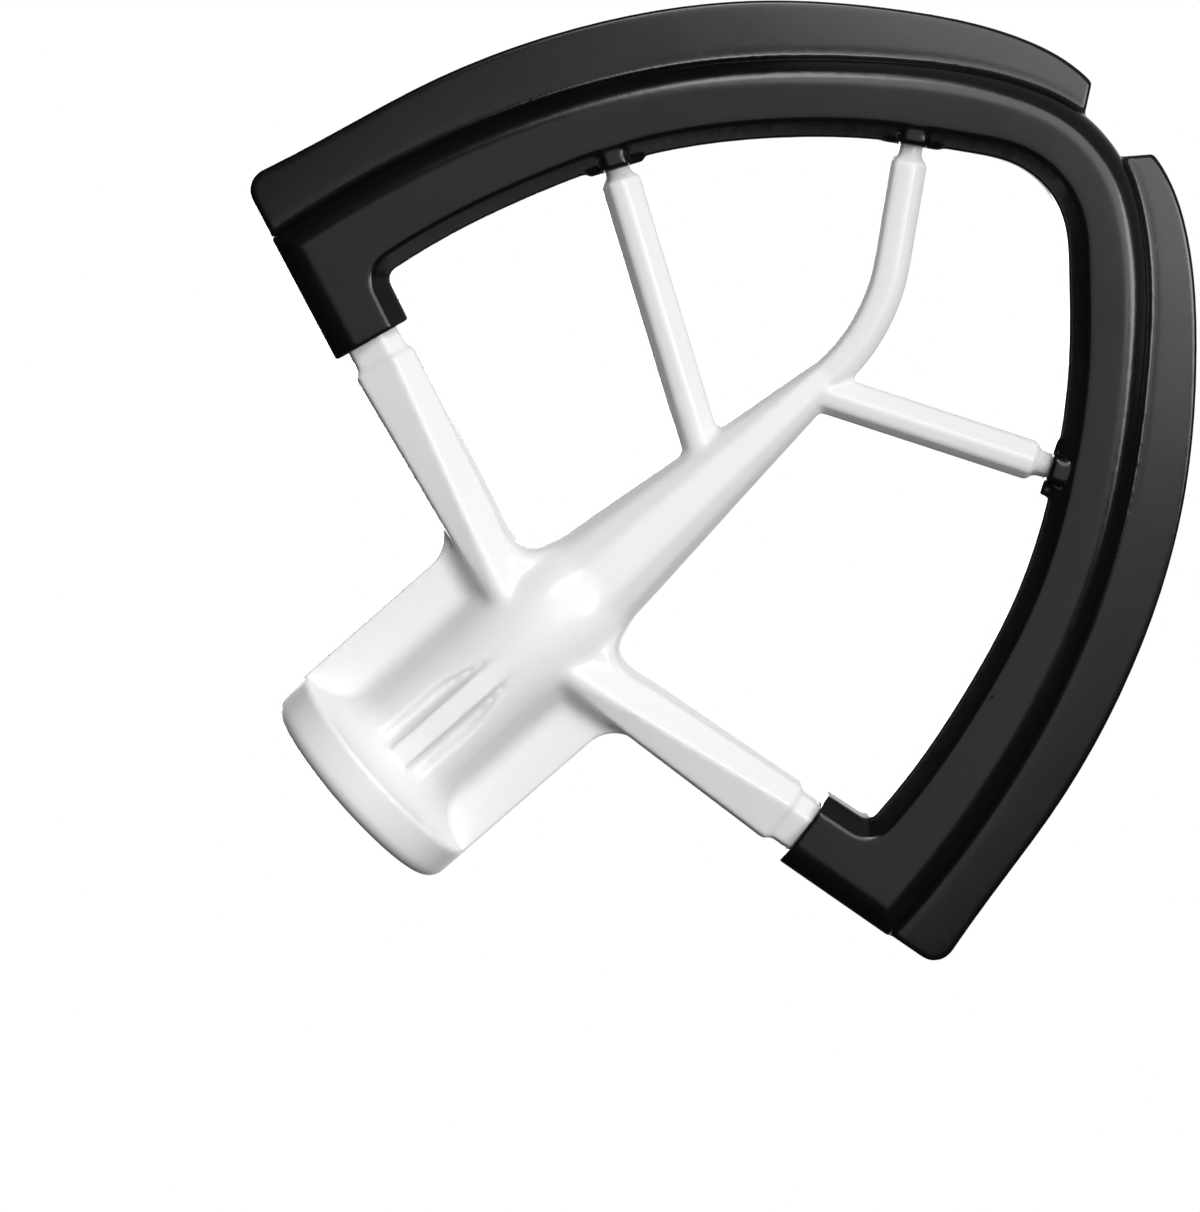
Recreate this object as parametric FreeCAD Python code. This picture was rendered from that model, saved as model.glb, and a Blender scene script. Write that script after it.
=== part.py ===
"""Flat beater of a tilt-head stand mixer: a coated die-cast frame with a moulded flexible edge.

Millimetres. The drive shaft's axis is Z and the bore's mouth is the origin, with the hub on top.
The blade lies in the XZ plane, its front towards -Y, and front and back are alike.
"""
import FreeCAD, Part
import math
import os

V = FreeCAD.Vector
NEAR = 1e-3

# Drive shaft and its cross pin, which turns into the hub's bayonet slot
SHAFT_RADIUS = 6.35
SHAFT_CLEARANCE = 0.10
PIN_DIAMETER = 4.0
PIN_REACH = 8.0
PIN_CLEARANCE = 0.3
BORE_DEPTH = 33.0
SLOT_DEPTH = 15.0
SLOT_TURN = 38.0

# Hub: a round collar on a round core, with a wing to each side and a rib on each face
COLLAR_RADIUS = 17.8
COLLAR_HEIGHT = 6.7
COLLAR_EDGE = 2.4
COVE_HEIGHT = 6.2
CORE_RADIUS = 10.0
CORE_END = -26.0
WING_HALF_WIDTH = 17.7
WING_HALF_THICKNESS = 2.0
WING_END = -40.0
WING_ROOT_FILLET = 3.0
RIB_HALF_WIDTH = 1.7
RIB_ROOT_HALF_WIDTH = 2.0
RIB_TOP = -7.0
RIB_FOOT = -32.0
RIB_RISE = 1.2
RIB_SUNK = 2.2
RIB_LEFT_AT_FOOT = 0.02

# Flute on each side of a rib: deep below the collar, running out towards the boss
FLUTE_RADIUS = 2.4
FLUTE_TOP = (3.3, -10.4, -11.2)
FLUTE_FOOT = (2.2, -12.3, -33.0)

# Boss below the core, which runs out into the spine
BOSS_TOP = -31.0
BOSS_TOP_RADIUS = 10.2
BOSS_HEIGHT = -37.5
BOSS_HALF_WIDTH = 10.4
BOSS_HALF_DEPTH = 10.0
BOSS_FOOT = -49.5
BOSS_FOOT_HALF_WIDTH = 7.6
BOSS_FOOT_HALF_DEPTH = 6.9
OVAL_POINTS = 16

# Spine: outlines are (across, depth) for the front half, with a broad flat along the front
TAPER_TOP = -43.0
TAPER_OUTLINE = [(8.8, 1.7), (6.8, 5.3), (2.8, 8.0), (-3.4, 8.0), (-6.8, 5.3), (-8.8, 1.7)]
SPINE_BEND = -93.8
SPINE_OUTLINE = [(2.75, 0.6), (2.45, 1.7), (1.9, 2.7), (-0.7, 3.1), (-1.8, 2.4), (-2.75, 1.3)]
SPINE_BEND_RADIUS = 28.0
SPINE_TURN = 39.5
SPINE_LAST_RUN = 14.8

# Arms: outlines are (across, depth), across towards the hub, for the front half
ARM_INNER = (0.0, -36.4)
ARM_OUTER = (44.4, -46.2)
ARM_INNER_OUTLINE = [(3.4, 6.2), (2.9, 7.8), (1.8, 8.8), (-3.1, 5.9)]
ARM_OUTER_OUTLINE = [(4.95, 1.4), (4.35, 3.0), (-1.8, 4.8), (-4.9, 2.6)]
ARM_SHOULDER = 0.9
NECK_OUTLINE = [(4.1, 1.2), (3.5, 2.6), (-1.6, 4.0), (-4.1, 2.2)]
NECK_LENGTH = 12.0

# Spokes from the spine to the rim, each with a neck that runs on into the edge
SPOKE_OUTLINE = [(2.95, 0.5), (1.6, 2.75), (-0.4, 3.2), (-2.95, 1.6)]
SPOKE_RIGHT = ((0.0, -70.9), (41.5, -89.7))
SPOKE_LEFT = ((0.0, -90.8), (-29.2, -108.1))
SPOKE_SHOULDER = 0.9
SPOKE_NECK = 0.64
SPOKE_NECK_LENGTH = 7.6

# Rim outlines, right half from the arm's end down to the tip; the left half mirrors them
RIM_INNER = [(53.9, -55.0), (52.0, -65.9), (48.4, -78.6), (42.3, -93.9), (31.8, -110.1),
             (20.5, -122.5), (11.2, -130.4), (5.8, -134.2), (0.0, -135.6)]
RIM_OUTER = [(69.1, -45.8), (66.7, -60.4), (59.7, -84.3), (47.9, -107.7), (30.1, -129.3),
             (12.9, -143.3), (6.0, -146.3), (0.0, -147.1)]
FIN_OUTER = [(78.2, -48.2), (74.5, -62.6), (70.9, -77.6), (62.2, -99.9), (49.0, -120.6), (32.9, -136.9),
             (18.4, -147.2), (12.8, -149.6), (6.9, -150.7)]
RIM_HALF_DEPTH = 5.0
RIM_SHOULDER = 3.9
RIM_BEVEL = 2.6
RIM_CORNER = 1.7
STUB_END_TOP = (49.4, -41.0)
STUB_END_LOW = (46.9, -53.1)

# Fins: thin lips outside the rim, with a gap between them at the tip
FIN_HALF_THICKNESS = 1.0
FIN_ROOT = 2.0
FIN_CORNER = 3.2
FIN_GAP_HALF_WIDTH = 3.6
FIN_GAP_DRAFT = 0.6
FIN_EDGE = 0.6

# Bosses of the edge round the spokes' ends: a low pad across the spoke and a block on it.
# Each gap is the length of neck that shows between the spoke's end and the pad.
PAD_LENGTH = 8.4
PAD_HALF_DEPTH = 2.7
PAD_REACH = 3.2
BLOCK_WIDTH = 4.0
BLOCK_HALF_DEPTH = 4.7
BLOCK_CHAMFER = 0.5
GAP_RIGHT = 1.8
GAP_LEFT = 2.4
GAP_SPINE = 2.4

# Loop of the frame inside the rim, which carries the edge
LOOP_COVER = 3.3
LOOP_HALF_DEPTH = 2.4

# Rounded corners between members
CORNER_SUNK = 1.2
ARM_SPINE_FILLET = 4.4
WING_ARM_FILLET = 5.6
GUSSET_HALF_DEPTH = 4.2
GUSSET_ROOT_HALF_DEPTH = 6.3
GUSSET_ROOT_RADIUS = 1.2


def at(point, y=0.0):
    return V(point[0], y, point[1])


def mirrored(points):
    return [(-x, z) for x, z in points]


def unit(start, end):
    """Direction from start to end in the blade's plane, and the normal that points up."""
    dx, dz = end[0] - start[0], end[1] - start[1]
    length = math.hypot(dx, dz)
    along = V(dx / length, 0, dz / length)
    across = V(-along.z, 0, along.x)
    return along, across if across.z > 0 else across * -1


def beyond(start, end, distance):
    """The point that lies a distance past end, on the line from start."""
    along, _ = unit(start, end)
    return (end[0] + along.x * distance, end[1] + along.z * distance)


def crossing(p, along_p, q, along_q):
    """Where two lines in the blade's plane meet."""
    det = along_p.x * along_q.z - along_p.z * along_q.x
    t = ((q[0] - p[0]) * along_q.z - (q[1] - p[1]) * along_q.x) / det
    return (p[0] + along_p.x * t, p[1] + along_p.z * t)


def moved_out(points, amount):
    """An outline of the rim's right half, moved away from the windows by an amount."""
    moved = []
    for i, p in enumerate(points):
        before = points[max(i - 1, 0)]
        after = points[i + 1] if i + 1 < len(points) else (-before[0], before[1])
        along, _ = unit(before, after)
        moved.append((p[0] - along.z * amount, p[1] + along.x * amount))
    return moved


def section(centre, across, outline, factor=1.0):
    """Closed faceted outline round centre: the front half as given, the back half its mirror image."""
    front = [centre + across * (u * factor) + V(0, -d * factor, 0) for u, d in outline]
    back = [V(p.x, -p.y, p.z) for p in reversed(front)]
    return Part.makePolygon(front + back + front[:1])


def oval(z, half_width, half_depth):
    """Closed rounded outline round the shaft's axis at a height."""
    angles = [2 * math.pi * i / OVAL_POINTS for i in range(OVAL_POINTS)]
    points = [V(half_width * math.cos(a), -half_depth * math.sin(a), z) for a in angles]
    spline = Part.BSplineCurve()
    spline.interpolate(Points=points, PeriodicFlag=True)
    return Part.Wire([spline.toShape()])


def straight(first, last):
    return Part.makeLoft([first, last], True, True)


def both_sides(shape):
    """A shape and its mirror image across the YZ plane."""
    return [shape, shape.mirror(V(0, 0, 0), V(1, 0, 0))]


def front_and_back(shape):
    return [shape, shape.mirror(V(0, 0, 0), V(0, 1, 0))]


def all_four(shape):
    """A shape with its mirror images to the other side, to the back, and to both."""
    return [copy for face in front_and_back(shape) for copy in both_sides(face)]


def upright_edges(body, corners):
    """The body's edges square to the blade's plane at the given corners."""
    return [e for e in body.Edges for p in corners
            if all(math.hypot(v.X - p[0], v.Z - p[1]) < NEAR for v in e.Vertexes)]


def slab(wire, half_depth):
    """A plate of the wire's outline, centred on the blade's plane."""
    face = Part.Face(wire)
    face.translate(V(0, -half_depth, 0))
    return face.extrude(V(0, 2 * half_depth, 0))


def curve(points):
    spline = Part.BSplineCurve()
    spline.interpolate([at(p) for p in points])
    return spline.toShape()


def whole_curve(points):
    """A curve through the right half's points and their mirror images, from right to left."""
    return curve(points + mirrored(points[-2::-1]))


def line(start, end):
    return Part.makeLine(at(start), at(end))


# Hub

def hub_body():
    """Collar, cove and core, turned round the shaft's axis."""
    low = -COLLAR_HEIGHT
    cove_end = low - COVE_HEIGHT
    slant = 1 - math.sqrt(0.5)
    edge_mid = V(COLLAR_RADIUS - COLLAR_EDGE * slant, 0, -COLLAR_EDGE * slant)
    cove_ends = [V(CORE_RADIUS, 0, cove_end), V(COLLAR_RADIUS, 0, low)]
    if COVE_HEIGHT > COLLAR_RADIUS - CORE_RADIUS:
        cove_ends.reverse()
    cove = Part.Ellipse(cove_ends[0], cove_ends[1], V(COLLAR_RADIUS, 0, cove_end))
    edges = [
        Part.makeLine(V(0, 0, 0), V(COLLAR_RADIUS - COLLAR_EDGE, 0, 0)),
        Part.Arc(V(COLLAR_RADIUS - COLLAR_EDGE, 0, 0), edge_mid, V(COLLAR_RADIUS, 0, -COLLAR_EDGE)).toShape(),
        Part.makeLine(V(COLLAR_RADIUS, 0, -COLLAR_EDGE), V(COLLAR_RADIUS, 0, low)),
        Part.Arc(cove, 0, math.pi / 2).toShape(),
        Part.makeLine(V(CORE_RADIUS, 0, cove_end), V(CORE_RADIUS, 0, CORE_END)),
        Part.makeLine(V(CORE_RADIUS, 0, CORE_END), V(0, 0, CORE_END)),
        Part.makeLine(V(0, 0, CORE_END), V(0, 0, 0)),
    ]
    return Part.Face(Part.Wire(edges)).revolve(V(0, 0, 0), V(0, 0, 1), 360)


def wings():
    height = -COLLAR_HEIGHT - WING_END
    return Part.makeBox(2 * WING_HALF_WIDTH, 2 * WING_HALF_THICKNESS, height,
                        V(-WING_HALF_WIDTH, -WING_HALF_THICKNESS, WING_END))


def wing_root_fill():
    """Concave fillet between the right wing's front face and the core."""
    centre = V(0, -WING_HALF_THICKNESS - WING_ROOT_FILLET, -COLLAR_HEIGHT)
    centre.x = math.sqrt((CORE_RADIUS + WING_ROOT_FILLET) ** 2 - centre.y ** 2)
    on_wing = centre + V(0, WING_ROOT_FILLET, 0)
    inward = V(-centre.x, -centre.y, 0).normalize()
    on_core = centre + inward * WING_ROOT_FILLET
    between = (inward + V(0, 1, 0)).normalize()
    deep = V(on_core.x, 0, on_core.z)
    edges = [Part.Arc(on_wing, centre + between * WING_ROOT_FILLET, on_core).toShape(),
             Part.makeLine(on_core, deep), Part.makeLine(deep, on_wing)]
    return Part.Face(Part.Wire(edges)).extrude(V(0, 0, WING_END + COLLAR_HEIGHT + CORNER_SUNK))


def rib():
    """The front rib, which leans back into the core towards the boss."""
    def level(z, share):
        front = -CORE_RADIUS - RIB_RISE * share
        half = [V(RIB_HALF_WIDTH, front, z), V(RIB_ROOT_HALF_WIDTH, -CORE_RADIUS + RIB_SUNK, z)]
        other = [V(-p.x, p.y, z) for p in reversed(half)]
        return Part.makePolygon(half + other + half[:1])

    return straight(level(RIB_TOP, 1.0), level(RIB_FOOT, RIB_LEFT_AT_FOOT))


def flute():
    """Round-ended cutter for the hollow on one side of the front rib."""
    top, foot = V(*FLUTE_TOP), V(*FLUTE_FOOT)
    along = foot - top
    shaft = Part.makeCylinder(FLUTE_RADIUS, along.Length, top, along)
    return shaft.fuse(Part.makeSphere(FLUTE_RADIUS, top))


def bore():
    return Part.makeCylinder(SHAFT_RADIUS + SHAFT_CLEARANCE, BORE_DEPTH, V(0, 0, -BORE_DEPTH))


def bayonet_slot():
    """Channel for the shaft's cross pin: down from the mouth at the back, then round."""
    radius = PIN_REACH + PIN_CLEARANCE
    width = PIN_DIAMETER + 2 * PIN_CLEARANCE
    floor = V(0, 0, -SLOT_DEPTH)
    down = Part.makeBox(width, radius, SLOT_DEPTH, V(-width / 2, 0, -SLOT_DEPTH))
    half_angle = math.degrees(math.asin(width / 2 / radius))
    round_part = Part.makeCylinder(radius, width, floor, V(0, 0, 1), SLOT_TURN + half_angle)
    round_part.rotate(V(0, 0, 0), V(0, 0, 1), 90 - half_angle)
    return down.common(Part.makeCylinder(radius, SLOT_DEPTH, floor)).fuse(round_part)


# Boss, spine, arms and spokes

def boss():
    """Rounded boss below the core."""
    levels = [(BOSS_TOP, BOSS_TOP_RADIUS, BOSS_TOP_RADIUS),
              (BOSS_HEIGHT, BOSS_HALF_WIDTH, BOSS_HALF_DEPTH),
              (BOSS_FOOT, BOSS_FOOT_HALF_WIDTH, BOSS_FOOT_HALF_DEPTH)]
    wires = [Part.Wire([Part.makeCircle(CORE_RADIUS, V(0, 0, CORE_END))])]
    wires += [oval(z, a, d) for z, a, d in levels]
    return Part.makeLoft(wires, True, False)


def spine_end():
    """The bend's end and the end of the straight run after it."""
    turn = math.radians(SPINE_TURN)
    bend = (SPINE_BEND_RADIUS * (1 - math.cos(turn)), SPINE_BEND - SPINE_BEND_RADIUS * math.sin(turn))
    last = (bend[0] + SPINE_LAST_RUN * math.sin(turn), bend[1] - SPINE_LAST_RUN * math.cos(turn))
    return bend, last


def necked(start, end, outline_at):
    """A member from start to end with its shoulder, and the neck that runs on into the rim."""
    shoulder = beyond(start, end, SPOKE_SHOULDER)
    inside = beyond(start, end, SPOKE_NECK_LENGTH)
    return [straight(outline_at(start, 1.0), outline_at(end, 1.0)),
            straight(outline_at(end, 1.0), outline_at(shoulder, SPOKE_NECK)),
            straight(outline_at(end, SPOKE_NECK), outline_at(inside, SPOKE_NECK))]


def spoke(start, end):
    _, across = unit(start, end)
    return necked(start, end, lambda point, factor: section(at(point), across, SPOKE_OUTLINE, factor))


def spine():
    """The spine's taper, its bend and its straight run down to the rim."""
    top = section(V(0, 0, TAPER_TOP), V(1, 0, 0), TAPER_OUTLINE)
    foot = section(V(0, 0, SPINE_BEND), V(1, 0, 0), SPINE_OUTLINE)
    turned = Part.Face(foot).revolve(V(SPINE_BEND_RADIUS, 0, SPINE_BEND), V(0, 1, 0), -SPINE_TURN)
    bend, last = spine_end()
    _, across = unit(bend, last)
    run = necked(bend, last, lambda point, factor: section(at(point), across, SPINE_OUTLINE, factor))
    return [straight(top, foot), turned] + run


def arm():
    """One arm with its shoulder, and the neck that runs on into the rim."""
    _, across = unit(ARM_INNER, ARM_OUTER)
    shoulder = beyond(ARM_INNER, ARM_OUTER, ARM_SHOULDER)
    inside = beyond(ARM_INNER, ARM_OUTER, NECK_LENGTH)
    end = section(at(ARM_OUTER), across, ARM_OUTER_OUTLINE)
    return [straight(section(at(ARM_INNER), across, ARM_INNER_OUTLINE), end),
            straight(end, section(at(shoulder), across, NECK_OUTLINE)),
            straight(section(at(ARM_OUTER), across, NECK_OUTLINE), section(at(inside), across, NECK_OUTLINE))]


# Rounded corners between members

def corner(vertex, first, second, radius, y=0.0):
    """Outline at depth y of the fill between two directions from vertex, up to an arc of the given radius."""
    half_angle = first.getAngle(second) / 2
    reach = radius / math.tan(half_angle)
    bisector = (first + second).normalize()
    a, b = at(vertex, y) + first * reach, at(vertex, y) + second * reach
    middle = at(vertex, y) + bisector * (radius / math.sin(half_angle) - radius)
    sunk = at(vertex, y) - bisector * CORNER_SUNK
    return Part.Wire([Part.makeLine(sunk, a), Part.Arc(a, middle, b).toShape(), Part.makeLine(b, sunk)])


def arm_edge(place):
    """Start and end of one of the arm's edges, and their depths; place counts the outline's points."""
    _, across = unit(ARM_INNER, ARM_OUTER)
    ends, depths = [], []
    for centre, outline in ((ARM_INNER, ARM_INNER_OUTLINE), (ARM_OUTER, ARM_OUTER_OUTLINE)):
        p = at(centre) + across * outline[place][0]
        ends.append((p.x, p.z))
        depths.append(outline[place][1])
    return ends, depths


def corner_fills():
    """Rounds each arm into the spine below it and into the wing above it."""
    low, _ = arm_edge(-1)
    low_along, _ = unit(*low)
    spine_top = (TAPER_OUTLINE[0][0], TAPER_TOP)
    spine_along, _ = unit(spine_top, (SPINE_OUTLINE[0][0], SPINE_BEND))
    below = crossing(low[0], low_along, spine_top, spine_along)
    high, _ = arm_edge(0)
    high_along, _ = unit(*high)
    above = crossing(high[0], high_along, (WING_HALF_WIDTH, 0.0), V(0, 0, 1))
    gusset = (below, low_along, spine_along)
    middle = slab(corner(*gusset, ARM_SPINE_FILLET), GUSSET_HALF_DEPTH)
    slope = straight(corner(*gusset, ARM_SPINE_FILLET, -GUSSET_HALF_DEPTH),
                     corner(*gusset, GUSSET_ROOT_RADIUS, -GUSSET_ROOT_HALF_DEPTH))
    wing_foot = slab(corner(above, high_along, V(0, 0, 1), WING_ARM_FILLET), WING_HALF_THICKNESS)
    return both_sides(middle) + all_four(slope) + both_sides(wing_foot)


def wing_face_fill():
    """Concave fillet between a wing's face and the arm's top, as high as the arm's edge stands out."""
    (start, end), depths = arm_edge(0)
    along, across = unit(start, end)
    share = (WING_HALF_WIDTH - start[0]) / (end[0] - start[0])
    slant = 1 - math.sqrt(0.5)

    def profile(point, radius):
        root = V(point[0], -WING_HALF_THICKNESS, point[1])
        a = root + across * radius
        b = root + V(0, -radius, 0)
        middle = root + (across + V(0, -1, 0)) * (radius * slant)
        deep = root + V(0, WING_HALF_THICKNESS, 0) - across * radius
        return Part.Wire([Part.Arc(a, middle, b).toShape(), Part.makeLine(b, deep), Part.makeLine(deep, a)])

    wing_end = (start[0] + (end[0] - start[0]) * share, start[1] + (end[1] - start[1]) * share)
    edge_depth = depths[0] + (depths[1] - depths[0]) * share
    return straight(profile(start, depths[0] - WING_HALF_THICKNESS),
                    profile(wing_end, edge_depth - WING_HALF_THICKNESS))


# Loop of the frame inside the rim

def frame_loop():
    """The frame's own rim: a flat bar that the edge covers on every side."""
    inner = moved_out(RIM_INNER, LOOP_COVER)
    outer = moved_out(RIM_OUTER, -LOOP_COVER)
    stub_along, _ = unit(STUB_END_TOP, RIM_OUTER[0])
    top = (RIM_OUTER[0][0], RIM_OUTER[0][1] - LOOP_COVER)
    inner[0] = crossing(top, stub_along, inner[1], unit(inner[1], inner[0])[0])
    outer[0] = crossing(top, stub_along, outer[1], unit(outer[1], outer[0])[0])
    edges = [whole_curve(inner), whole_curve(outer),
             line(inner[0], outer[0]), line(mirrored(inner)[0], mirrored(outer)[0])]
    return slab(Part.Wire(Part.__sortEdges__(edges)), LOOP_HALF_DEPTH)


def frame():
    """The whole casting, bored for the shaft."""
    pieces = [wings(), frame_loop()] + spine() + corner_fills() + front_and_back(rib())
    pieces += spoke(*SPOKE_RIGHT) + spoke(*SPOKE_LEFT)
    for member in arm():
        pieces += both_sides(member)
    pieces += all_four(wing_face_fill()) + all_four(wing_root_fill())
    core = hub_body().fuse(boss()).cut(all_four(flute()))
    casting = core.multiFuse(pieces).removeSplitter()
    return casting.cut(bore().fuse(bayonet_slot()))


# Flexible edge

def rim_body():
    """The edge's thick part with the stub round each arm's neck."""
    inner, outer = whole_curve(RIM_INNER), whole_curve(RIM_OUTER)
    outside, inside, ends = [outer], [inner], []
    for side in (list, mirrored):
        outside.append(line(*side([RIM_OUTER[0], STUB_END_TOP])))
        inside.append(line(*side([STUB_END_LOW, RIM_INNER[0]])))
        ends.append(line(*side([STUB_END_TOP, STUB_END_LOW])))
    body = slab(Part.Wire(Part.__sortEdges__(outside + inside + ends)), RIM_HALF_DEPTH)
    corners = (RIM_INNER[0], mirrored(RIM_INNER)[0])
    body = body.makeFillet(RIM_CORNER, upright_edges(body, corners))

    def face_edges(anchors):
        """Edges on the front and back faces that run along the given outline edges."""
        found = []
        for e in body.Edges:
            mid = e.valueAt((e.FirstParameter + e.LastParameter) / 2)
            if abs(abs(mid.y) - RIM_HALF_DEPTH) > NEAR:
                continue
            flat = Part.Vertex(V(mid.x, 0, mid.z))
            if any(a.distToShape(flat)[0] < NEAR for a in anchors):
                found.append(e)
        return found

    body = body.makeFillet(RIM_SHOULDER, face_edges(outside))
    return body.makeChamfer(RIM_BEVEL, face_edges(inside))


def fin():
    """The right-hand fin, let into the rim at its root."""
    outer = curve(FIN_OUTER)
    root = moved_out(RIM_OUTER, -FIN_ROOT)[:-2]
    gap = (FIN_GAP_HALF_WIDTH, RIM_OUTER[-2][1])
    gap_root = (FIN_GAP_HALF_WIDTH - FIN_GAP_DRAFT, RIM_OUTER[-1][1] + FIN_ROOT)
    inner = curve(root + [gap_root])
    edges = [outer, inner, line(root[0], FIN_OUTER[0]), line(FIN_OUTER[-1], gap), line(gap, gap_root)]
    plate = slab(Part.Wire(Part.__sortEdges__(edges)), FIN_HALF_THICKNESS)
    plate = plate.makeFillet(FIN_CORNER, upright_edges(plate, FIN_OUTER[:1]))
    lip = [e for e in plate.Edges if abs(abs(e.CenterOfMass.y) - FIN_HALF_THICKNESS) < NEAR
           and e.distToShape(outer)[0] < FIN_HALF_THICKNESS + NEAR]
    return plate.makeFillet(FIN_EDGE, lip)


def square_block(face, along, across, width, half_depth):
    """A block that starts at face and runs along by PAD_REACH."""
    side = across * (width / 2)
    far = along * PAD_REACH
    return slab(Part.makePolygon([face + side, face + side + far, face - side + far, face - side,
                                  face + side]), half_depth)


def spoke_boss(start, end, gap):
    """Pad and block of the edge round a spoke's end, square to the spoke."""
    along, across = unit(start, end)
    face = at(end) + along * gap
    block = square_block(face, along, across, BLOCK_WIDTH, BLOCK_HALF_DEPTH)
    rims = [e for e in block.Edges if abs(abs(e.CenterOfMass.y) - BLOCK_HALF_DEPTH) < NEAR]
    return [square_block(face, along, across, PAD_LENGTH, PAD_HALF_DEPTH),
            block.makeChamfer(BLOCK_CHAMFER, rims)]


def flexible_edge(casting):
    bosses = spoke_boss(*SPOKE_RIGHT, GAP_RIGHT) + spoke_boss(*SPOKE_LEFT, GAP_LEFT)
    bosses += spoke_boss(*spine_end(), GAP_SPINE)
    body = rim_body().multiFuse(both_sides(fin()) + bosses)
    return body.removeSplitter().cut(casting)


def main():
    os.makedirs("parts", exist_ok=True)
    casting = frame()
    edge = flexible_edge(casting)
    for name, shape in (("beater_frame", casting), ("flexible_edge", edge)):
        box = shape.BoundBox
        print(name, "valid", shape.isValid(), "solids", len(shape.Solids), "volume %.0f" % shape.Volume,
              "x %.1f..%.1f y %.1f..%.1f z %.1f..%.1f" % (box.XMin, box.XMax, box.YMin, box.YMax,
                                                          box.ZMin, box.ZMax))
        shape.exportStep("parts/%s.step" % name)


main()
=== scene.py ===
"""Looks of the stand mixer flat beater: glossy white casting with a moulded black edge."""

import math

import bpy
from mathutils import Matrix, Vector
from mathutils.kdtree import KDTree


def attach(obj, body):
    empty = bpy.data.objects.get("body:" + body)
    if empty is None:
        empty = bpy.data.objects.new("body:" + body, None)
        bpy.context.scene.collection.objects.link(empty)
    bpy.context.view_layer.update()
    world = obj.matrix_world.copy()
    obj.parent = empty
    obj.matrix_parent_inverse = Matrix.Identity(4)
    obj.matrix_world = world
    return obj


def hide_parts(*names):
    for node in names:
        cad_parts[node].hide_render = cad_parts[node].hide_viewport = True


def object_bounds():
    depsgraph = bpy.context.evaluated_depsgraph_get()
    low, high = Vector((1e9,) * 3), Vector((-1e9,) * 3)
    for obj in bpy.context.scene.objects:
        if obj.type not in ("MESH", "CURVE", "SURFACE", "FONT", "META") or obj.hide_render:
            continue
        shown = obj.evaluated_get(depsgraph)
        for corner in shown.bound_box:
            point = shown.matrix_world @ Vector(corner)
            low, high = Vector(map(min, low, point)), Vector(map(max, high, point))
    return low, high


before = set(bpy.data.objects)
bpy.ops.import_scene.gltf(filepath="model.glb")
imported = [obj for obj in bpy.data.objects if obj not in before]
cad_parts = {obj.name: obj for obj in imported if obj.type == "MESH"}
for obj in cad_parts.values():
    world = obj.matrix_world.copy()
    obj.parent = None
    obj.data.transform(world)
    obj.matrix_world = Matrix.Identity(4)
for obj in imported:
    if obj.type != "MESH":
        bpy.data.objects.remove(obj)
cad_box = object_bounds()

MM = 0.001

# Camera: the photograph's place, viewing angle and turn about its own axis
PHOTO_HEIGHT = 1212
FOCAL_LENGTH_PX = 4001.0
SENSOR = 36.0
CAMERA_PLACE = Vector((45.97, -588.2, -98.15)) * MM
CAMERA_TILT = math.radians(5.057)
CAMERA_TURN = math.radians(4.792)
CAMERA_ROLL = math.radians(228.49)
LEVEL = math.radians(90.0)
CLIP_START = 0.01


def add_camera():
    data = bpy.data.cameras.new("camera")
    data.sensor_width = SENSOR
    data.lens = FOCAL_LENGTH_PX * SENSOR / PHOTO_HEIGHT
    data.clip_start = CLIP_START
    camera = bpy.data.objects.new("camera", data)
    bpy.context.scene.collection.objects.link(camera)
    turn = (Matrix.Rotation(CAMERA_TILT, 4, "X") @ Matrix.Rotation(CAMERA_TURN, 4, "Z")
            @ Matrix.Rotation(LEVEL, 4, "X") @ Matrix.Rotation(CAMERA_ROLL, 4, "Z"))
    camera.matrix_world = Matrix.Translation(CAMERA_PLACE) @ turn
    bpy.context.scene.camera = camera


# Nodes for materials

class Nodes:
    """Adds and links the nodes of one tree."""

    def __init__(self, tree):
        self.tree = tree
        tree.nodes.clear()

    def add(self, kind, **inputs):
        node = self.tree.nodes.new(kind)
        for name, value in inputs.items():
            self.put(node, name.replace("_", " "), value)
        return node

    def put(self, node, name, value):
        if isinstance(value, bpy.types.NodeSocket):
            self.tree.links.new(value, node.inputs[name])
        else:
            node.inputs[name].default_value = value

    def noise(self, where, scale, detail):
        node = self.add("ShaderNodeTexNoise", Vector=where, Scale=scale, Detail=detail)
        return node.outputs["Fac"]

    def spread(self, value, low, high, start, end):
        """Maps a value that runs from start to end onto the range from low to high."""
        node = self.add("ShaderNodeMapRange", Value=value, From_Min=start, From_Max=end, To_Min=low,
                        To_Max=high)
        return node.outputs["Result"]

    def mixed_colour(self, factor, first, second):
        node = self.add("ShaderNodeMix")
        node.data_type = "RGBA"
        self.put(node, 0, factor)
        self.put(node, 6, first)
        self.put(node, 7, second)
        return node.outputs[2]

    def bumped(self, height, strength, distance, normal=None):
        node = self.add("ShaderNodeBump", Height=height, Strength=strength, Distance=distance)
        if normal is not None:
            self.put(node, "Normal", normal)
        return node.outputs["Normal"]

    def finish(self, shader):
        output = self.add("ShaderNodeOutputMaterial")
        self.tree.links.new(shader.outputs[0], output.inputs["Surface"])


def new_material(name):
    material = bpy.data.materials.new(name)
    material.use_nodes = True
    return material, Nodes(material.node_tree)


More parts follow.
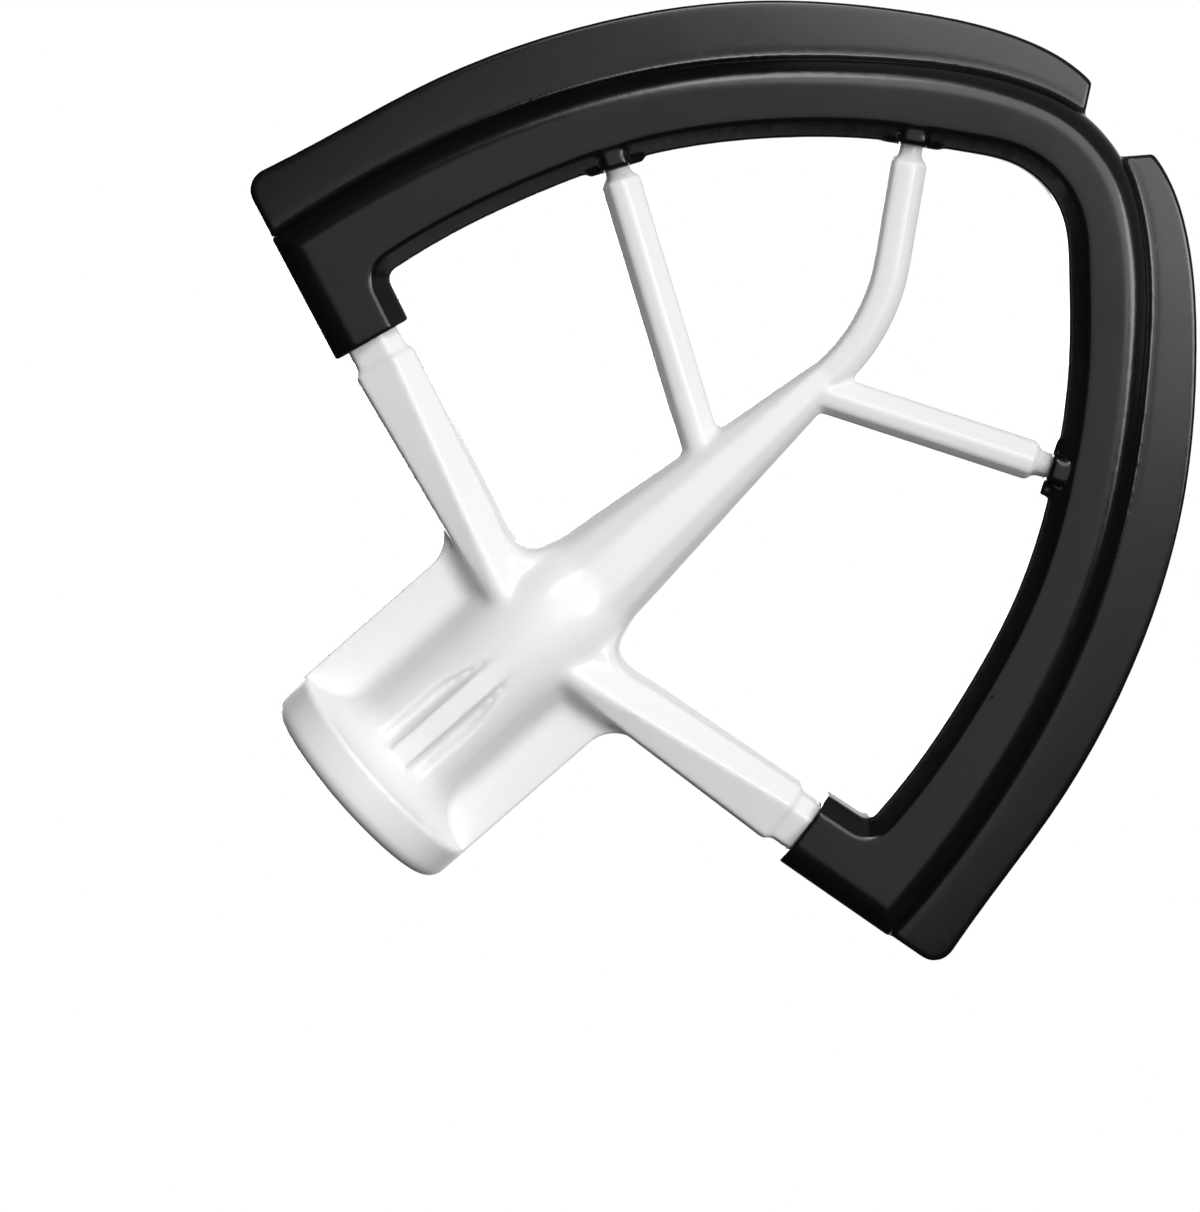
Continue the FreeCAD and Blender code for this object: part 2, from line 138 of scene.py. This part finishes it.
# Coating: colours, noise as (scale, detail), bumps as (strength, distance)
COATING_DARK = (0.815, 0.815, 0.81, 1)
COATING_LIGHT = (0.845, 0.845, 0.845, 1)
COATING_CLOUDS = (30.0, 2.0)
COATING_GLOSS_CLOUDS = (90.0, 2.0)
COATING_ROUGHNESS = (0.20, 0.26)
COATING_SPECULAR = 0.3
PEEL_NOISE = (520.0, 2.0)
PEEL_BUMP = (0.08, 0.4 * MM)
COATING_GRAIN_NOISE = (2600.0, 2.0)
COATING_GRAIN_BUMP = (0.03, 0.1 * MM)
CLEAR_COAT = 0.1
CLEAR_COAT_ROUGHNESS = 0.1

# Rubber, in the same terms
RUBBER_DARK = (0.0028, 0.0028, 0.0030, 1)
RUBBER_LIGHT = (0.0040, 0.0040, 0.0043, 1)
RUBBER_CLOUDS = (60.0, 3.0)
RUBBER_GLOSS_CLOUDS = (120.0, 2.0)
RUBBER_ROUGHNESS = (0.17, 0.22)
RUBBER_SPECULAR = 0.42
RUBBER_GRAIN_NOISE = (3200.0, 3.0)
RUBBER_GRAIN_BUMP = (0.05, 0.1 * MM)

# The part of the noise's range that the roughness is spread over
GLOSS_SPREAD = (0.2, 0.8)

FLOOR_DARK = (0.80, 0.80, 0.80, 1)
FLOOR_LIGHT = (0.83, 0.83, 0.83, 1)
FLOOR_CLOUDS = (9.0, 3.0)
FLOOR_ROUGHNESS = 0.6


def white_coating():
    """Thick glossy coating: a trace of orange peel, faint clouds in colour and gloss."""
    material, n = new_material("glossy_coating")
    where = n.add("ShaderNodeTexCoord").outputs["Object"]
    colour = n.mixed_colour(n.noise(where, *COATING_CLOUDS), COATING_DARK, COATING_LIGHT)
    peel = n.bumped(n.noise(where, *PEEL_NOISE), *PEEL_BUMP)
    surface = n.bumped(n.noise(where, *COATING_GRAIN_NOISE), *COATING_GRAIN_BUMP, peel)
    roughness = n.spread(n.noise(where, *COATING_GLOSS_CLOUDS), *COATING_ROUGHNESS, *GLOSS_SPREAD)
    shader = n.add("ShaderNodeBsdfPrincipled", Base_Color=colour, Normal=surface, Roughness=roughness)
    shader.inputs["Specular IOR Level"].default_value = COATING_SPECULAR
    shader.inputs["Coat Weight"].default_value = CLEAR_COAT
    shader.inputs["Coat Roughness"].default_value = CLEAR_COAT_ROUGHNESS
    n.finish(shader)
    return material


def black_rubber():
    """Moulded satin rubber: fine grain, and faint clouds in colour and gloss."""
    material, n = new_material("satin_rubber")
    where = n.add("ShaderNodeTexCoord").outputs["Object"]
    colour = n.mixed_colour(n.noise(where, *RUBBER_CLOUDS), RUBBER_DARK, RUBBER_LIGHT)
    surface = n.bumped(n.noise(where, *RUBBER_GRAIN_NOISE), *RUBBER_GRAIN_BUMP)
    roughness = n.spread(n.noise(where, *RUBBER_GLOSS_CLOUDS), *RUBBER_ROUGHNESS, *GLOSS_SPREAD)
    shader = n.add("ShaderNodeBsdfPrincipled", Base_Color=colour, Normal=surface, Roughness=roughness)
    shader.inputs["Specular IOR Level"].default_value = RUBBER_SPECULAR
    n.finish(shader)
    return material


def floor_paint():
    """Pale matt paint with faint clouds."""
    material, n = new_material("floor_paint")
    where = n.add("ShaderNodeTexCoord").outputs["Object"]
    colour = n.mixed_colour(n.noise(where, *FLOOR_CLOUDS), FLOOR_DARK, FLOOR_LIGHT)
    shader = n.add("ShaderNodeBsdfPrincipled", Base_Color=colour, Roughness=FLOOR_ROUGHNESS)
    n.finish(shader)
    return material


# Surroundings

FLOOR_DROP = 0.20
FLOOR_RADIUS = 0.30
FLOOR_CORNERS = 96

# World: each ramp runs between two values of the direction's axis. The fill comes mostly from below.
BACKDROP_RAMP = (0.55, 0.90)
BACKDROP_TOP_RAMP = (0.45, 0.05)
ROOM_DARK = 0.02
FILL_RAMP = (0.30, 0.0)
FILL_ABOVE = 0.05
FILL_BELOW = 0.17


def add_world():
    """White to the camera, and a soft fill for what it lights.

    Reflections see a dim room with a white wall behind the object.
    """
    world = bpy.data.worlds.new("world")
    bpy.context.scene.world = world
    world.use_nodes = True
    n = Nodes(world.node_tree)
    direction = n.add("ShaderNodeTexCoord").outputs["Generated"]
    parts = n.add("ShaderNodeSeparateXYZ", Vector=direction)
    low_enough = n.spread(parts.outputs["Z"], ROOM_DARK, 1.0, *BACKDROP_TOP_RAMP)
    behind = n.spread(parts.outputs["Y"], ROOM_DARK, low_enough, *BACKDROP_RAMP)
    soft = n.spread(parts.outputs["Z"], FILL_ABOVE, FILL_BELOW, *FILL_RAMP)
    path = n.add("ShaderNodeLightPath")
    seen = n.add("ShaderNodeMath")
    seen.operation = "MAXIMUM"
    n.tree.links.new(path.outputs["Is Glossy Ray"], seen.inputs[0])
    n.tree.links.new(path.outputs["Is Transmission Ray"], seen.inputs[1])
    fill = n.add("ShaderNodeMix")
    n.put(fill, 0, seen.outputs[0])
    n.put(fill, 2, soft)
    n.put(fill, 3, behind)
    strength = n.add("ShaderNodeMix")
    n.put(strength, 0, path.outputs["Is Camera Ray"])
    n.put(strength, 2, fill.outputs[0])
    n.put(strength, 3, 1.0)
    background = n.add("ShaderNodeBackground", Color=(1, 1, 1, 1), Strength=strength.outputs[0])
    output = n.add("ShaderNodeOutputWorld")
    n.tree.links.new(background.outputs[0], output.inputs["Surface"])


def add_floor():
    """A pale round floor below the object, out of the picture."""
    low = cad_box[0]
    bpy.ops.mesh.primitive_circle_add(vertices=FLOOR_CORNERS, radius=FLOOR_RADIUS, fill_type="NGON",
                                      location=(0, 0, low[2] - FLOOR_DROP))
    floor = bpy.context.object
    floor.name = "floor"
    bpy.ops.object.transform_apply(location=True, rotation=True, scale=True)
    floor.data.materials.append(floor_paint())


def softbox(name, place, aim, size, power):
    """A rectangular soft lamp at place that shines at aim."""
    data = bpy.data.lights.new(name, "AREA")
    data.shape = "RECTANGLE"
    data.size, data.size_y = size
    data.energy = power
    lamp = bpy.data.objects.new(name, data)
    bpy.context.scene.collection.objects.link(lamp)
    direction = Vector(aim) - Vector(place)
    lamp.matrix_world = Matrix.Translation(place) @ direction.to_track_quat("-Z", "Y").to_matrix().to_4x4()


# Lamps: a broad key from below, a soft front light, small ones for the edges' glints, and one for the
# back. Each has its name, place, size and power, and shines at the object's middle.
MIDDLE = Vector((0.0, 0.0, -0.09))
LAMPS = [
    ("key_lamp", (0.16, -1.02, -0.81), (1.3, 1.13), 13.6),
    ("front_lamp", (-0.08, -1.1, -0.33), (0.85, 1.0), 2.1),
    ("right_glint", (-0.50, -0.92, -0.67), (0.35, 0.35), 3.6),
    ("left_glint", (0.58, -0.92, -0.59), (0.35, 0.35), 2.4),
    ("back_lamp", (0.25, 0.95, 0.15), (0.6, 0.6), 8.0),
]


def add_lamps():
    for name, place, size, power in LAMPS:
        softbox(name, place, MIDDLE, size, power)


# The object

# The remesh's grain, how far one step of smoothing moves a point, how many steps there are, how many
# triangles a piece keeps, and how near points are that are merged
GRAIN = 0.32 * MM
SMOOTHING = 0.5
CAST_ROUNDING = 8
BLEND_ROUNDING = 110
EDGE_ROUNDING = 9
TRIANGLES = 190000
WELD = 0.002 * MM


def copied(node, name):
    """A welded copy of a CAD node's mesh, the only thing selected."""
    piece = bpy.data.objects.new(name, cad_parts[node].data.copy())
    bpy.context.scene.collection.objects.link(piece)
    bpy.ops.object.select_all(action="DESELECT")
    piece.select_set(True)
    bpy.context.view_layer.objects.active = piece
    bpy.ops.object.mode_set(mode="EDIT")
    bpy.ops.mesh.select_all(action="SELECT")
    bpy.ops.mesh.remove_doubles(threshold=WELD)
    bpy.ops.object.mode_set(mode="OBJECT")
    return piece


def modified(piece, kind, **settings):
    """Adds a modifier with the given settings and applies it."""
    modifier = piece.modifiers.new(kind.lower(), kind)
    for name, value in settings.items():
        setattr(modifier, name, value)
    bpy.context.view_layer.objects.active = piece
    bpy.ops.object.modifier_apply(modifier=modifier.name)


def weighted(piece, name, weight):
    """A vertex group whose weight is a function of each point's place."""
    group = piece.vertex_groups.new(name=name)
    for vertex in piece.data.vertices:
        share = weight(vertex.co)
        if share > 0:
            group.add([vertex.index], share, "REPLACE")


def eased(value, low, high):
    """Runs softly from 0 at low to 1 at high."""
    t = min(max((value - low) / (high - low), 0.0), 1.0)
    return t * t * (3 - 2 * t)


# Where the members run together: round the boss, in the corners between the arms and the spine,
# where the wings run into the cove, and along the top of the spine. Each blend fades between two
# distances.
BOSS = Vector((0.0, 0.0, -41.0)) * MM
BOSS_BLEND = (9.0 * MM, 19.0 * MM)
ARM_CORNER = Vector((10.5, 0.0, -44.5)) * MM
CORNER_BLEND = (3.5 * MM, 8.0 * MM)
WING_TOP = Vector((14.0, 0.0, -10.0)) * MM
WING_BLEND = (1.5 * MM, 4.0 * MM)
WING_SHARE = 0.5
SPINE_FADE = (70.0 * MM, 92.0 * MM)
SPINE_SIDE = (9.0 * MM, 12.0 * MM)
SPINE_SHARE = 0.3


def blended(place):
    """How much a point of the casting is smoothed into its neighbours, from 0 to 1."""
    in_plane = Vector((abs(place.x), 0.0, place.z))
    spine = SPINE_SHARE * (1.0 - eased(abs(place.x), *SPINE_SIDE)) * (1.0 - eased(-place.z, *SPINE_FADE))
    if place.z > BOSS.z:
        spine = 0.0
    boss = 1.0 - eased((place - BOSS).length, *BOSS_BLEND)
    corner = 1.0 - eased((in_plane - ARM_CORNER).length, *CORNER_BLEND)
    wing = WING_SHARE * (1.0 - eased((in_plane - WING_TOP).length, *WING_BLEND))
    return max(boss, corner, wing, spine)


def finished(piece, node, material):
    """Gives the piece its material and lets it stand for the CAD node."""
    piece.data.materials.clear()
    piece.data.materials.append(material)
    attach(piece, "root")
    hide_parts(node)


def remeshed(piece):
    modified(piece, "REMESH", mode="VOXEL", voxel_size=GRAIN, adaptivity=0.0, use_smooth_shade=True)


def smoothed(piece, iterations, **settings):
    modified(piece, "SMOOTH", factor=SMOOTHING, iterations=iterations, **settings)


def thinned(piece):
    """Takes triangles out of the flat places, down to the number that a piece may have."""
    modified(piece, "TRIANGULATE")
    modified(piece, "DECIMATE", ratio=min(1.0, TRIANGLES / len(piece.data.polygons)))


# The hub's front: its core with the cove under the collar, and a trench on each side of the rib,
# which narrows towards the boss. Points nearer to the axis than BORE_CLEAR are the bore's wall.
CORE_RADIUS = 10.0 * MM
COLLAR_RADIUS = 17.8 * MM
COVE_FOOT = -12.9 * MM
COVE_HEIGHT = 6.2 * MM
FLUTES_TOP = -8.2 * MM
FLUTES_FOOT = -33.5 * MM
FLUTES_SIDE = 6.6 * MM
FILL_FOOT = (-32.0 * MM, -27.0 * MM)
FILL_SIDE = (5.4 * MM, 6.6 * MM)
TRENCH_INNER = 1.75 * MM
TRENCH_OUTER = 4.40 * MM
TRENCH_TOP = -9.6 * MM
TRENCH_NARROWS = -20.0 * MM
TRENCH_DEPTH = 2.6 * MM
BORE_CLEAR = 7.4 * MM
TRENCH_FADE = 1.2 * MM
TRENCH_WALL = 0.3 * MM
NARROWEST = 0.1 * MM


def hub_face(side, z):
    """How far in front of the axis the hub's round face lies."""
    climb = min(max((z - COVE_FOOT) / COVE_HEIGHT, 0.0), 1.0)
    radius = COLLAR_RADIUS - (COLLAR_RADIUS - CORE_RADIUS) * math.sqrt(1.0 - climb * climb)
    return math.sqrt(radius * radius - side * side)


def sink_trenches(piece):
    """Fills the flutes' outer part and sinks a narrow trench beside the rib, clear of the bore's wall."""
    for vertex in piece.data.vertices:
        place = vertex.co
        side = abs(place.x)
        in_front = place.y < 0 and math.hypot(place.x, place.y) > BORE_CLEAR
        in_flute = TRENCH_INNER - TRENCH_WALL < side < FLUTES_SIDE and FLUTES_FOOT < place.z < FLUTES_TOP
        if in_front and in_flute:
            share = 1.0 - eased(-place.z, -TRENCH_NARROWS, -FLUTES_FOOT)
            width = (TRENCH_OUTER - TRENCH_INNER) * share
            across = min(max((side - TRENCH_INNER) / max(width, NARROWEST), 0.0), 1.0)
            end = 1.0 - eased(place.z, TRENCH_TOP - TRENCH_FADE, TRENCH_TOP)
            depth = TRENCH_DEPTH * share * end * (1.0 - abs(2.0 * across - 1.0))
            fill = eased(place.z, *FILL_FOOT) * (1.0 - eased(side, *FILL_SIDE))
            fill *= eased(side, TRENCH_INNER - TRENCH_WALL, TRENCH_INNER)
            raised = min(0.0, -hub_face(side, place.z) - place.y) * fill
            place.y += raised + depth


def casting(material):
    """The coated casting: its members run together in soft hollows and every edge is rounded."""
    piece = copied("beater_frame", "coated_casting")
    remeshed(piece)
    weighted(piece, "blend", blended)
    smoothed(piece, BLEND_ROUNDING, vertex_group="blend")
    sink_trenches(piece)
    remeshed(piece)
    smoothed(piece, CAST_ROUNDING)
    thinned(piece)
    finished(piece, "beater_frame", material)


# Fins: they thin to a fifth of their thickness at the lip. A fin's points lie within FIN_FACE of the
# middle plane, and the rim's shoulder, which the taper is measured from, at SHOULDER_HEIGHTS.
FIN_FACE = 1.05 * MM
SHOULDER_HEIGHTS = (1.4 * MM, 2.2 * MM)
TAPER_START = 1.6 * MM
TAPER_END = 11.0 * MM
LIP_SHARE = 0.2


def taper_fins(piece):
    """Thins each fin away from the rim's shoulder, which its points find by distance."""
    points = piece.data.vertices
    shoulder = [v.co for v in points if SHOULDER_HEIGHTS[0] < abs(v.co.y) < SHOULDER_HEIGHTS[1]]
    tree = KDTree(len(shoulder))
    for i, place in enumerate(shoulder):
        tree.insert(place, i)
    tree.balance()
    for vertex in points:
        if abs(vertex.co.y) < FIN_FACE:
            _, _, distance = tree.find(vertex.co)
            share = min(max((distance - TAPER_START) / (TAPER_END - TAPER_START), 0.0), 1.0)
            vertex.co.y *= 1.0 - (1.0 - LIP_SHARE) * share


def moulded_edge(material):
    """The flexible edge with tapered fins, its edges and the fins' roots rounded a little."""
    piece = copied("flexible_edge", "moulded_edge")
    remeshed(piece)
    taper_fins(piece)
    smoothed(piece, EDGE_ROUNDING)
    thinned(piece)
    finished(piece, "flexible_edge", material)


add_camera()
add_world()
add_floor()
add_lamps()
casting(white_coating())
moulded_edge(black_rubber())

bpy.context.scene.view_settings.view_transform = "Standard"
